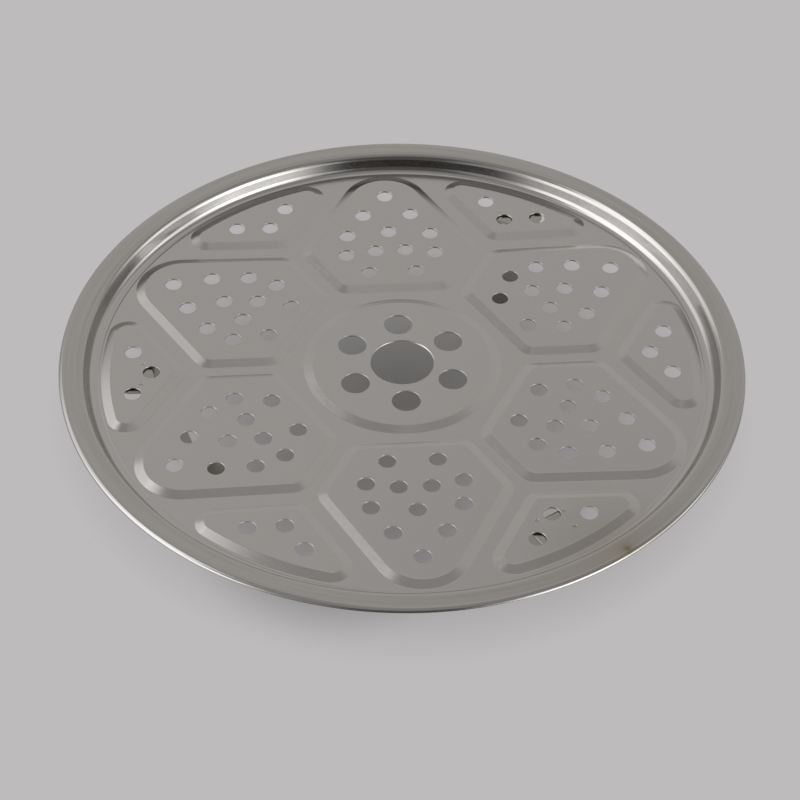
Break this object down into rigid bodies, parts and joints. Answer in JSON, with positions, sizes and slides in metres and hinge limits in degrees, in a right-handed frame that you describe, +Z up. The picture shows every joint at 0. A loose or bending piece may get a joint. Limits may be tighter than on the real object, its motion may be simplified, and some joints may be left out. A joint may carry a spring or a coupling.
{
  "type": "steamer plate",
  "caption": "Round pressed steel steamer plate with perforated raised panels, a flanged rim and welded strip legs, to hold food above water in a pot.",
  "frame": {"origin": "on the ground, below the centre of the plate, level with the undersides of the feet", "axes": "+Z up along the plate's axis; +X through the middle of a petal panel; +Y through the lobe panel that carries leg_1"},
  "size_m": [0.24, 0.24, 0.054],
  "materials": {
    "plate_steel": "satin stainless sheet, pressed",
    "leg_steel": "satin stainless strip, bent",
    "weld_metal": "dull spot weld"
  },
  "bodies": {
    "root": {"plate": "plate_steel", "leg_1": "leg_steel", "leg_2": "leg_steel", "leg_3": "leg_steel", "weld_1a": "weld_metal", "weld_1b": "weld_metal", "weld_2a": "weld_metal", "weld_2b": "weld_metal", "weld_3a": "weld_metal", "weld_3b": "weld_metal"}
  },
  "joints": []
}
